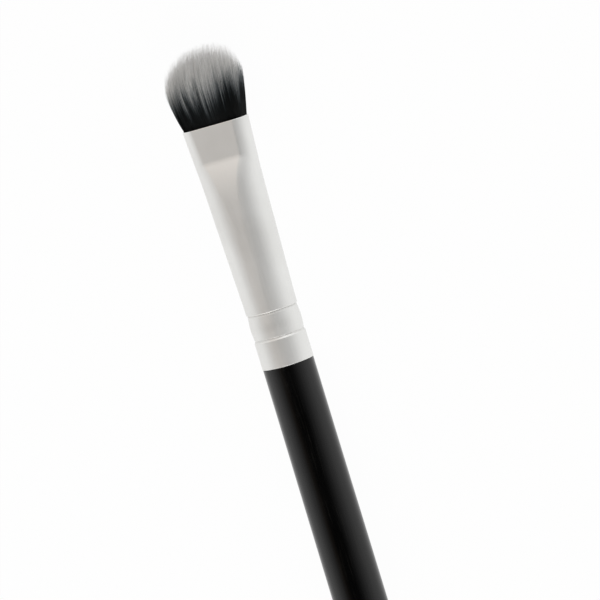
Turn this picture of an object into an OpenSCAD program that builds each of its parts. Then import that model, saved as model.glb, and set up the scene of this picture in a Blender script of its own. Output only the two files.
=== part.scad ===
// Eyeshadow brush, lying flat on a table with its flattened faces up and down.
// +X runs along the brush towards the hair tips, +Y across the flat tuft and +Z up.
// The origin is the bottom centre of the whole brush.
// Each piece is drawn about its own axis, standing up on the joint between handle and ferrule,
// with x across the tuft, y through its thickness and z towards the hair tips, and is then laid down.

/* [Tuft] */
// Length of the hairs in front of the ferrule, at the middle of the dome
tuft_len = 10.65; // [8.5:0.05:14]
// Width of the tuft at its widest
tuft_w = 11.45; // [9.8:0.05:14]
// Thickness of the tuft at its widest
tuft_t = 6.6; // [5:0.1:8]
// Height above the ferrule at which the tuft is widest
widest_at = 6.1; // [4:0.1:7.5]
// How far the top of the dome leans to one side
tip_lean = 0.85; // [0:0.05:1.5]
// Most that a single hair falls short of the dome
hair_fall = 0.3; // [0:0.05:0.6]
// Thickness of the bound slice of hair that holds the tuft together
backing_t = 2.2; // [1:0.1:4]
// Depth of that slice's face below the ferrule's mouth
backing_depth = 0.1; // [0.05:0.01:0.3]
// Bare border of the slice around the hairs
border_t = 0.1; // [0.06:0.01:0.3]

/* [Ferrule] */
// Length of the ferrule
ferrule_len = 34; // [28:0.5:42]
// Outside diameter of its round barrel
barrel_d = 7.2; // [6:0.1:9]
// Wall thickness of the drawn tube
wall = 0.25; // [0.2:0.01:0.4]
// Outside width where the tube is still almost round, before its sides are pressed together
flare_w = 8.08; // [7.6:0.02:8.6]
// Outside thickness there
flare_t = 7.3; // [7:0.05:7.5]
// Outside width at the fold, where the pressed flats start
fold_w = 8.82; // [8.2:0.02:9.4]
// Outside thickness over the round sides there
fold_t = 4.94; // [4.4:0.02:5.6]
// Outside width of the flattened mouth
mouth_w = 9.4; // [8.6:0.1:11]
// Outside thickness over its round sides
mouth_t = 4.6; // [4:0.1:5.4]
// Length over which the tube is pressed together, up to the fold
pinch_len = 7; // [5:0.5:9]
// Length of the pressed flats
press_len = 5; // [3:0.1:7]
// Depth of the pressed flats below the round sides
press_depth = 0.08; // [0.04:0.01:0.16]
// Length of the shallow dip that leads to the fold
dip_len = 10.5; // [8.5:0.5:14]
// Length over which the dip gains its full depth
dip_grow = 7.5; // [5:0.5:8]

/* [Rolled grooves] */
// Distance of the first groove from the handle end of the ferrule
groove_at = 3.95; // [3:0.01:4.4]
// Length of the bead between the two grooves, from groove to groove
bead_len = 3.55; // [2:0.01:4]
// Plain round stretch from the second groove to where the tube starts to widen
land_len = 1.5; // [1:0.01:3]
// Width of a groove
groove_w = 0.4; // [0.3:0.02:0.6]
// Depth of a groove
groove_depth = 0.22; // [0.15:0.01:0.3]
// Distance of a groove's deepest line from its middle, towards the tuft
groove_skew = 0.13; // [0:0.01:0.14]
// Fall of the bead from its crown to its edges
bead_fall = 0.12; // [0.05:0.01:0.2]

/* [Handle] */
// Length of the handle that shows, from the ferrule to the end of the tail
handle_len = 125.35; // [100:0.05:160]
// Diameter at the shoulder that meets the ferrule
neck_d = 7.12; // [6.2:0.02:8.6]
// Rounding of the shoulder's edge
shoulder_r = 0.12; // [0.05:0.01:0.2]
// Largest diameter of the handle
belly_d = 7.3; // [6.2:0.05:9]
// Distance of the largest diameter from the ferrule
belly_at = 50; // [35:1:65]
// Diameter of the parallel tail
tail_d = 4.6; // [3.5:0.1:6]
// Length of the parallel tail, its domed end included
tail_len = 14; // [8:0.5:20]
// Length of the domed end
dome_len = 2; // [1:0.1:3]
// Length of the tenon's tapered nose beyond the round barrel
nose_len = 3; // [2:0.1:4]

/* [Adhesives] */
// Gap between the tenon and the ferrule's bore, which the adhesive fills
glue_t = 0.12; // [0.08:0.01:0.2]
// Distance of the adhesive sleeve from each end of the round barrel
glue_inset = 0.5; // [0.3:0.05:1]
// Length of the resin plug that holds the roots of the hairs
plug_len = 8; // [5:0.5:10]

/* [Hidden] */

// Clearance on each side of the adhesive sleeve
film = 0.02;
// Clearance of the resin and the bound hair from the ferrule's wall
fill_gap = 0.05;
// Clearance of the tenon's nose from the widening wall
nose_gap = 0.1;
// Step where the flattened tube leaves the round barrel
seam_step = 0.01;

// Facets round the flattened tube, and of the exact round shapes
sides = 60;
round_fn = 96;
// Rings along the widening tube, along its pinch and along the pressed flats
flare_rings = 5;
pinch_rings = 7;
press_rings = 3;
// Steps along the bead, the swelling of the handle, its taper and its domed end
bead_steps = 8;
swell_steps = 10;
taper_steps = 22;
dome_steps = 8;
corner_steps = 4;
// Rows of hairs across the tuft and through its thickness
hairs_across = 30;
hairs_through = 16;
// Seeds of the hairs' differences in place and in length
place_seed = 3;
fall_seed = 7;

// How soon the tube widens, how late it is pinched and how late the dip sets in: more is later
flare_power = 0.7;
pinch_power = 3;
dip_power = 1.5;
// Share of half the bead's length that is rounded at its crown
crown_share = 0.5;
// Squareness of the tuft's section at its root and at its widest: 2 is an ellipse, more is boxier
root_square = 3;
full_square = 2;
// Share of a cell by which its corners stray from even rows
stray_share = 0.15;
// Shares of their cells that hairs fill at their two bends
low_fill_share = 0.75;
high_fill_share = 0.85;
// Share of the height to the widest place at which a hair has its lower bend
bend_share = 0.45;
// How soon the tuft spreads above the mouth: less is sooner
spread_power = 0.5;
// Roundness of the dome, share by which hairs draw in at its top, and how late the lean sets in
dome_power = 2.5;
draw_in_share = 0.17;
lean_power = 3;

barrel_r = barrel_d / 2;
groove_half = groove_w / 2;
second_groove_at = groove_at + bead_len;
barrel_len = second_groove_at + land_len;
fold_at = ferrule_len - press_len;
flare_at = fold_at - pinch_len;
dip_at = fold_at - dip_len;
backing_at = ferrule_len - backing_depth;
backing_end = backing_at - backing_t;
mouth_half = mouth_t / 2 - press_depth;
root_inset = wall + fill_gap + border_t;
bend_at = widest_at * bend_share;
plug_start = backing_end - fill_gap;
tenon_len = barrel_len + nose_len;
nose_r = min(side_r(tenon_len), barrel_r) - wall - glue_t - nose_gap;
tail_at = handle_len - tail_len;
whole_len = handle_len + ferrule_len + tuft_len;
joint_x = whole_len / 2 - ferrule_len - tuft_len;
axis_z = max(belly_d, neck_d, barrel_d, flare_t, tuft_t) / 2;

// Curves shared by the pieces
function mix(from, to, s) = from + (to - from) * s;
function ease(s) = (1 - cos(180 * s)) / 2;

// Shares of the way along the widening tube, along its pinch and along the pressed flats
function flare_share(z) = max(0, z - barrel_len) / (flare_at - barrel_len);
function pinch_share(z) = pow(max(0, z - flare_at) / (fold_at - flare_at), pinch_power);
function press_share(z) = (z - fold_at) / press_len;
// Radius of the tube's two round sides at a height
function side_r(z) =
    let (widened = mix(barrel_r, flare_t / 2, pow(min(1, flare_share(z)), flare_power)))
    z > fold_at
        ? mix(fold_t, mouth_t, press_share(z)) / 2
        : mix(widened, fold_t / 2, pinch_share(z));
// Half the distance between the middles of the two round sides
function side_gap(z) =
    z > fold_at
        ? mix(fold_w - fold_t, mouth_w - mouth_t, press_share(z)) / 2
        : mix((flare_w - flare_t) * flare_share(z), fold_w - fold_t, pinch_share(z)) / 2;
// Depth of the flats below the round sides
function flat_depth(z) = press_depth * pow(min(1, max(0, z - dip_at) / dip_grow), dip_power);
// A point of the tube's section at a height, drawn in from the outer surface by an inset
function tube_point(z, angle, inset) =
    let (r = side_r(z) - inset)
    let (across = (r + side_gap(z)) * cos(angle))
    let (beyond = max(abs(across) - side_gap(z), 0))
    let (up = sqrt(max(r * r - beyond * beyond, 0)))
    [across, sign(sin(angle)) * min(up, r - flat_depth(z))];
function tube_ring(z, inset) =
    [for (i = [0:sides - 1]) concat(tube_point(z, 360 * i / sides, inset), z)];

// Drop of the bead, at a share of the way from its middle to its edges
function bead_drop(share) =
    bead_fall / (1 - crown_share / 2)
    * (share < crown_share ? share * share / (2 * crown_share) : share - crown_share / 2);
// Outline of the grooved barrel as [radius, height], drawn in by an inset
function barrel_outline(inset) = [
    [barrel_r - inset, 0],
    [barrel_r - inset, groove_at - groove_half],
    [barrel_r - inset - groove_depth, groove_at + groove_skew],
    for (i = [0:bead_steps])
        [barrel_r - inset - bead_drop(abs(2 * i / bead_steps - 1)),
         mix(groove_at + groove_half, second_groove_at - groove_half, i / bead_steps)],
    [barrel_r - inset - groove_depth, second_groove_at + groove_skew],
    [barrel_r - inset, second_groove_at + groove_half],
    [barrel_r - inset, barrel_len]
];
// The same outline between two heights that lie on its plain end stretches
function barrel_stretch(inset, low, high) = [
    [barrel_r - inset, low],
    for (p = barrel_outline(inset)) if (p.y > low && p.y < high) p,
    [barrel_r - inset, high]
];
function reversed(list) = [for (i = [len(list) - 1:-1:0]) list[i]];

// Numbers of points that follow each other
function run(first, count) = [for (i = [0:count - 1]) first + i];
// Faces between two closed loops of points, seen from outside
function band_faces(low, high) = [
    for (i = [0:len(low) - 1])
        let (j = (i + 1) % len(low))
        each [[low[i], high[i], high[j]], [low[i], high[j], low[j]]]
];
// Faces that close a loop around a middle point, looking down or up
function floor_faces(loop, middle) =
    [for (i = [0:len(loop) - 1]) [middle, loop[i], loop[(i + 1) % len(loop)]]];
function roof_faces(loop, middle) =
    [for (i = [0:len(loop) - 1]) [middle, loop[(i + 1) % len(loop)], loop[i]]];

module lay_down() {
    translate([joint_x, 0, axis_z]) rotate([90, 0, 90]) children();
}

// Turned wooden handle with its tenon
module handle() {
    neck_r = neck_d / 2;
    belly_r = belly_d / 2;
    tail_r = tail_d / 2;
    dome = [for (i = [0:dome_steps])
        [tail_r * sin(90 * i / dome_steps), -handle_len + dome_len * (1 - cos(90 * i / dome_steps))]];
    taper = [for (i = [0:taper_steps])
        [mix(tail_r, belly_r, ease(i / taper_steps)), mix(-tail_at, -belly_at, i / taper_steps)]];
    swell = [for (i = [1:swell_steps])
        [mix(belly_r, neck_r, ease(i / swell_steps)), mix(-belly_at, -shoulder_r, i / swell_steps)]];
    shoulder = [for (i = [1:corner_steps])
        [neck_r - shoulder_r * (1 - cos(90 * i / corner_steps)),
         shoulder_r * (sin(90 * i / corner_steps) - 1)]];
    tenon = concat(barrel_outline(wall + glue_t), [[nose_r, tenon_len], [0, tenon_len]]);
    color("#1c1c1c") lay_down() rotate_extrude($fn = round_fn)
        polygon(concat(dome, taper, swell, shoulder, tenon));
}

// Round barrel of the ferrule with its two rolled grooves
module barrel() {
    rotate_extrude($fn = round_fn)
        polygon(concat(barrel_outline(0), reversed(barrel_outline(wall))));
}

// Heights of the rings above the barrel
function tube_heights() = concat(
    [for (i = [1:flare_rings]) mix(barrel_len, flare_at, i / flare_rings)],
    [for (i = [1:pinch_rings]) mix(flare_at, fold_at, i / pinch_rings)],
    [for (i = [1:press_rings]) mix(fold_at, ferrule_len, i / press_rings)]);

// Flattened stretch of the ferrule, from the barrel to the mouth
module flattened_tube() {
    heights = tube_heights();
    last = len(heights);
    skin = (last + 1) * sides;
    points = concat(
        tube_ring(barrel_len, seam_step),
        [for (z = heights) each tube_ring(z, 0)],
        tube_ring(barrel_len, wall - seam_step),
        [for (z = heights) each tube_ring(z, wall)]);
    outer = [for (k = [0:last]) run(k * sides, sides)];
    inner = [for (k = [0:last]) run(skin + k * sides, sides)];
    polyhedron(points, concat(
        [for (k = [1:last]) each band_faces(outer[k - 1], outer[k])],
        [for (k = [1:last]) each band_faces(inner[k], inner[k - 1])],
        band_faces(outer[last], inner[last]),
        band_faces(inner[0], outer[0])));
}

// Drawn aluminium ferrule
module ferrule() {
    color("#c9c8c5") lay_down() union() {
        barrel();
        flattened_tube();
    }
}

// Middle of the tuft at a height above the mouth, which leans to one side towards the dome
function tuft_middle(h) = [-tip_lean * pow(max(h, 0) / tuft_len, lean_power), 0];
// Share of the way from its root's section to its widest section
function tuft_spread(h) = pow(min(max(h, 0), widest_at) / widest_at, spread_power);
// Half the width and half the thickness of the tuft at that height
function tuft_half(h) =
    let (dome_share = max(0, h - widest_at) / (tuft_len - widest_at))
    mix([mouth_w / 2 - root_inset, mouth_half - root_inset], [tuft_w / 2, tuft_t / 2], tuft_spread(h))
    * (1 - draw_in_share * pow(dome_share, 2));
// How much further out a place lies in a boxier section
function boxed(place, square) =
    norm(place) > 0
        ? norm(place) / pow(pow(abs(place.x), square) + pow(abs(place.y), square), 1 / square)
        : 1;
// A place in the tuft at that height, given on a disc of radius 1
function tuft_point(h, place) =
    let (half = tuft_half(h))
    let (out = boxed(place, mix(root_square, full_square, tuft_spread(h))))
    tuft_middle(h) + [place.x * half.x, place.y * half.y] * out;
function standing(h, place) = concat(tuft_point(h, place), ferrule_len + h);
// Height of the dome over a place
function dome_height(place) =
    widest_at + (tuft_len - widest_at) * sqrt(1 - pow(norm(place), dome_power));

// Hairs grow from a grid of cells, whose corners stray a little and are bent into a disc
function is_inner(i, j) = i > 0 && i < hairs_across && j > 0 && j < hairs_through;
function on_disc(u, v) = [u * sqrt(1 - v * v / 2), v * sqrt(1 - u * u / 2)];
function corner_at(i, j, stray) =
    on_disc(2 * (i + stray.x) / hairs_across - 1, 2 * (j + stray.y) / hairs_through - 1);
function corner_number(i, j) = i * (hairs_through + 1) + j;
function cell_corners(i, j) =
    [corner_number(i, j), corner_number(i + 1, j), corner_number(i + 1, j + 1), corner_number(i, j + 1)];
// The four cells at the corners of the grid are too thin for a hair
function is_thin(i, j) = (i == 0 || i == hairs_across - 1) && (j == 0 || j == hairs_through - 1);

// Tuft of tapered three-sided hairs on the slice that binds their roots
module tuft() {
    corners_in_all = (hairs_across + 1) * (hairs_through + 1);
    strays = rands(-stray_share, stray_share, 2 * corners_in_all, place_seed);
    corners = [for (i = [0:hairs_across], j = [0:hairs_through])
        let (n = 2 * corner_number(i, j))
        corner_at(i, j, is_inner(i, j) ? [strays[n], strays[n + 1]] : [0, 0])];
    // Each cell has a hair on one half, and the other half is bare
    hair_cells = [for (i = [0:hairs_across - 1], j = [0:hairs_through - 1])
        if (!is_thin(i, j)) let (c = cell_corners(i, j)) [c[0], c[1], c[2]]];
    bare_cells = [for (i = [0:hairs_across - 1], j = [0:hairs_through - 1])
        let (c = cell_corners(i, j))
        each is_thin(i, j) ? [[c[0], c[3], c[2]], [c[0], c[2], c[1]]] : [[c[0], c[3], c[2]]]];

    // Loop around the grid, and the slice's edges outside it
    around = concat(
        [for (i = [0:hairs_across - 1]) corner_number(i, 0)],
        [for (j = [0:hairs_through - 1]) corner_number(hairs_across, j)],
        [for (i = [hairs_across:-1:1]) corner_number(i, hairs_through)],
        [for (j = [hairs_through:-1:1]) corner_number(0, j)]);
    angles = [for (n = around) atan2(corners[n].y, corners[n].x)];
    upper = run(corners_in_all, len(around));
    lower = run(corners_in_all + len(around), len(around));
    floor_middle = corners_in_all + 2 * len(around);
    slice_points = concat(
        [for (c = corners) concat(tuft_point(0, c), backing_at)],
        [for (a = angles) concat(tube_point(backing_at, a, wall + fill_gap), backing_at)],
        [for (a = angles) concat(tube_point(backing_end, a, wall + fill_gap), backing_end)],
        [[0, 0, backing_end]]);

    // Each hair adds two rings of three points and its tip
    falls = rands(0, hair_fall, len(hair_cells), fall_seed);
    hair_points = [for (n = [0:len(hair_cells) - 1])
        let (places = [for (c = hair_cells[n]) corners[c]])
        let (middle = (places[0] + places[1] + places[2]) / 3)
        let (tip_at = dome_height(middle) - falls[n])
        each concat(
            [for (p = places) standing(bend_at, mix(middle, p, low_fill_share))],
            [for (p = places) standing(widest_at, mix(middle, p, high_fill_share))],
            [standing(tip_at, middle)])];
    points_each = 7;
    hair_faces = [for (n = [0:len(hair_cells) - 1])
        let (low = run(len(slice_points) + points_each * n, 3))
        let (high = [for (p = low) p + 3])
        each concat(
            band_faces(hair_cells[n], low),
            band_faces(low, high),
            roof_faces(high, low[0] + points_each - 1))];
    color("#5a5a5c") lay_down()
        polyhedron(
            concat(slice_points, hair_points),
            concat(
                bare_cells,
                band_faces(upper, around),
                band_faces(lower, upper),
                floor_faces(lower, floor_middle),
                hair_faces));
}

// Resin plug cast around the roots inside the flattened tube
module root_plug() {
    plug_end = plug_start - plug_len;
    heights = concat(
        [plug_end], [for (z = tube_heights()) if (z > plug_end && z < plug_start) z], [plug_start]);
    last = len(heights) - 1;
    loops = [for (k = [0:last]) run(k * sides, sides)];
    floor_middle = len(heights) * sides;
    points = concat(
        [for (z = heights) each tube_ring(z, wall + fill_gap)],
        [[0, 0, plug_end], [0, 0, plug_start]]);
    color("#c9a45c") lay_down()
        polyhedron(points, concat(
            [for (k = [1:last]) each band_faces(loops[k - 1], loops[k])],
            floor_faces(loops[0], floor_middle),
            roof_faces(loops[last], floor_middle + 1)));
}

// Adhesive sleeve between the tenon and the ferrule's bore
module tenon_glue() {
    outer = barrel_stretch(wall + film, glue_inset, barrel_len - glue_inset);
    inner = barrel_stretch(wall + glue_t - film, glue_inset, barrel_len - glue_inset);
    color("#e8dcae") lay_down() rotate_extrude($fn = round_fn)
        polygon(concat(outer, reversed(inner)));
}

handle();
ferrule();
tuft();
root_plug();
tenon_glue();
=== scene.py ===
import math
from functools import partial

import bmesh
import bpy
import numpy
from mathutils import Matrix, Vector


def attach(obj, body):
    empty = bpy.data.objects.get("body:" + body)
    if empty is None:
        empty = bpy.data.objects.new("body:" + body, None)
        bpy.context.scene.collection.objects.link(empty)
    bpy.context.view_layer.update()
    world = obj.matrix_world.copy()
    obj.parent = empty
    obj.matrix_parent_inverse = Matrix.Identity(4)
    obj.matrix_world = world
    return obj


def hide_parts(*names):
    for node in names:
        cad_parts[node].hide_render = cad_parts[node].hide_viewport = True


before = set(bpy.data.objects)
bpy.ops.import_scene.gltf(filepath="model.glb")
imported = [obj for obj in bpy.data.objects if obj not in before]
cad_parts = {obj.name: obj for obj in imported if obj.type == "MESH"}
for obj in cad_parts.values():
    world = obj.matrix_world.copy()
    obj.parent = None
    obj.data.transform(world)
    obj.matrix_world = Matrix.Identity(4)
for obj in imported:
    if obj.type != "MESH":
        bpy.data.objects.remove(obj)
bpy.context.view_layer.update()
print("frame loaded:", ", ".join(sorted(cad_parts)))

mm = 0.001
whiteHex = "#FFFFFF"
noiseLow, noiseHigh = 0.3, 0.7  # most of a noise texture's values lie between these

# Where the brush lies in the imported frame, the same as in the part
lay = {
    "jointX": 40.35 * mm,  # handle meets ferrule
    "mouthX": 74.35 * mm,  # hair leaves ferrule
    "axisZ": 3.65 * mm,  # height of the axis over the table
}
joint = Vector((lay["jointX"], 0, lay["axisZ"]))

# Two grooves rolled through the ferrule into the tenon, and the bead between them, in mm
grooves = [3.95, 7.5]  # from the joint
rolled = {
    "grooveDepth": 0.22,
    "grooveHalf": 0.2,
    "grooveSkew": 0.13,  # of a groove's deepest line, towards the tuft
    "beadFall": 0.12,  # of the bead's ends below its middle
}


# The linear colour that shaders take, from an sRGB hex value
def toLinear(hexColour):
    channels = [int(hexColour[i : i + 2], 16) / 255 for i in (1, 3, 5)]
    linear = [c / 12.92 if c <= 0.04045 else ((c + 0.055) / 1.055) ** 2.4 for c in channels]
    return (*linear, 1.0)


# Adds one node with its settings. Its sockets are named, or counted among those in use, and each takes a
# value, a node or a node's output.
def addNode(tree, kind, sockets=(), **settings):
    node = tree.nodes.new(kind)
    for name, value in settings.items():
        setattr(node, name, value)
    for key, value in sockets.items() if isinstance(sockets, dict) else enumerate(sockets):
        usable = [s for s in node.inputs if s.enabled]
        target = usable[key] if isinstance(key, int) else next(s for s in usable if s.name == key)
        if isinstance(value, bpy.types.Node):
            value = next(s for s in value.outputs if s.enabled)
        if isinstance(value, bpy.types.NodeSocket):
            tree.links.new(value, target)
        else:
            target.default_value = value
    return node


def newMaterial(name):
    material = bpy.data.materials.new(name)
    material.use_nodes = True
    material.node_tree.nodes.clear()
    return material, partial(addNode, material.node_tree)


def setRamp(node, stops):
    elements = node.color_ramp.elements
    while len(elements) > 1:
        elements.remove(elements[-1])
    elements[0].position, elements[0].color = stops[0][0], toLinear(stops[0][1])
    for place, colour in stops[1:]:
        elements.new(place).color = toLinear(colour)


# Handle finish: black lacquer sprayed over turned beech
lacquer = {
    "base": "#030303",
    "lifted": "#100F0D",  # thinner over the open grain
    "rubbed": "#2A2826",  # edge of the domed end
    "rubMost": 0.7,
    "roughness": 0.17,
    "handled": (-0.04, 0.05),  # least and most that handling adds to the roughness
    "poreRoughness": 0.08,  # added where the grain is open
    "specular": 0.42,
    "grainWidth": 0.22 * mm,
    "grainLength": 5 * mm,
    "grainDepth": 0.02 * mm,
    "grainFelt": 0.22,
    "poresFrom": 0.55,  # values of the grain's noise between which its pores open
    "poresTo": 0.78,
    "orangePeel": 0.9 * mm,
    "peelDepth": 0.03 * mm,
    "peelFelt": 0.12,
    "handWear": 12 * mm,
}


# Deep black with a soft broad sheen, and the beech's fine lines just felt through the lacquer
def makeLacquer():
    material, add = newMaterial("black lacquer on beech")
    place = add("ShaderNodeTexCoord").outputs["Object"]
    along = add(
        "ShaderNodeMapping",
        {"Vector": place, "Scale": (lacquer["grainWidth"] / lacquer["grainLength"], 1, 1)},
    )
    grain = add(
        "ShaderNodeTexNoise",
        {"Vector": along, "Scale": 1 / lacquer["grainWidth"], "Detail": 3, "Roughness": 0.6},
    )
    peel = add("ShaderNodeTexNoise", {"Vector": place, "Scale": 1 / lacquer["orangePeel"], "Detail": 2})
    wear = add(
        "ShaderNodeTexNoise",
        {"Vector": place, "Scale": 1 / lacquer["handWear"], "Detail": 4, "Roughness": 0.6},
    )
    pores = add(
        "ShaderNodeMapRange",
        {"Value": grain, "From Min": lacquer["poresFrom"], "From Max": lacquer["poresTo"]},
    )
    colour = add(
        "ShaderNodeMix",
        {"Factor": pores, "A": toLinear(lacquer["base"]), "B": toLinear(lacquer["lifted"])},
        data_type="RGBA",
    )
    # the tail's domed end, rubbed by the brush stand
    split = add("ShaderNodeSeparateXYZ", {"Vector": place})
    tailEnd = lay["jointX"] - handle["length"]
    rub = add(
        "ShaderNodeMapRange",
        {"Value": split.outputs["X"], "From Min": tailEnd + handle["domeLength"], "From Max": tailEnd,
         "To Max": lacquer["rubMost"]},
    )
    rubSpots = add("ShaderNodeMath", [rub, grain], operation="MULTIPLY")
    worn = add(
        "ShaderNodeMix", {"Factor": rubSpots, "A": colour, "B": toLinear(lacquer["rubbed"])}, data_type="RGBA"
    )
    least, most = lacquer["handled"]
    sheen = add(
        "ShaderNodeMapRange",
        {"Value": wear, "From Min": noiseLow, "From Max": noiseHigh,
         "To Min": lacquer["roughness"] + least, "To Max": lacquer["roughness"] + most},
    )
    rough = add("ShaderNodeMath", [pores, lacquer["poreRoughness"], sheen], operation="MULTIPLY_ADD")
    skin = add(
        "ShaderNodeBump", {"Height": peel, "Strength": lacquer["peelFelt"], "Distance": lacquer["peelDepth"]}
    )
    lines = add(
        "ShaderNodeBump",
        {"Height": grain, "Strength": lacquer["grainFelt"], "Distance": lacquer["grainDepth"],
         "Normal": skin},
    )
    shader = add(
        "ShaderNodeBsdfPrincipled",
        {"Base Color": worn, "Roughness": rough, "Normal": lines, "Specular IOR Level": lacquer["specular"]},
    )
    add("ShaderNodeOutputMaterial", {"Surface": shader})
    return material


# Handle, turned in one piece with its tenon. Each value is an input of its tree.
handle = {
    "rings": 251,
    "ringPoints": 97,  # the first and the last of a ring meet
    "length": 125.35 * mm,
    "tailRadius": 2.3 * mm,
    "tailLength": 14 * mm,
    "domeLength": 2 * mm,
    "bellyRadius": 3.65 * mm,
    "bellyAt": 50 * mm,  # from the joint
    "neckRadius": 3.56 * mm,
    "shoulderRadius": 0.12 * mm,
    "tenonRadius": 3.23 * mm,
    "tenonLength": 12 * mm,
    "noseLength": 3 * mm,
    "noseRadius": 3.13 * mm,
    "firstGroove": grooves[0] * mm,
    "secondGroove": grooves[1] * mm,
    **{name: value * mm for name, value in rolled.items()},
}

# Shares of the rings that each stretch of the handle gets, from its tail's end to its tenon's
handleBands = {
    "dome": (0, 0.06), "tail": (0.06, 0.12), "taper": (0.12, 0.44), "swell": (0.44, 0.7),
    "shoulder": (0.7, 0.74), "face": (0.74, 0.752), "tenon": (0.752, 0.932), "nose": (0.932, 0.98),
    "end": (0.98, 1),
}


def newTree(name, sizes):
    tree = bpy.data.node_groups.new(name, "GeometryNodeTree")
    tree.interface.new_socket(name="Geometry", in_out="OUTPUT", socket_type="NodeSocketGeometry")
    for title, value in sizes.items():
        kind = "NodeSocketInt" if isinstance(value, int) else "NodeSocketFloat"
        tree.interface.new_socket(name=title, in_out="INPUT", socket_type=kind)
    given = addNode(tree, "NodeGroupInput")
    return tree, {title: given.outputs[title] for title in sizes}, partial(addNode, tree)


# Runs a tree on an empty object and keeps what it makes as a plain mesh
def buildPiece(name, tree, sizes):
    piece = bpy.data.objects.new(name, bpy.data.meshes.new(name + "-start"))
    bpy.context.scene.collection.objects.link(piece)
    modifier = piece.modifiers.new("making", "NODES")
    modifier.node_group = tree
    for socket in tree.interface.items_tree:
        if socket.in_out == "INPUT":
            modifier[socket.identifier] = sizes[socket.name]
    made = piece.evaluated_get(bpy.context.evaluated_depsgraph_get())
    mesh = bpy.data.meshes.new_from_object(made)
    piece.modifiers.remove(modifier)
    piece.data = mesh
    mesh.name = name
    return piece


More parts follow.
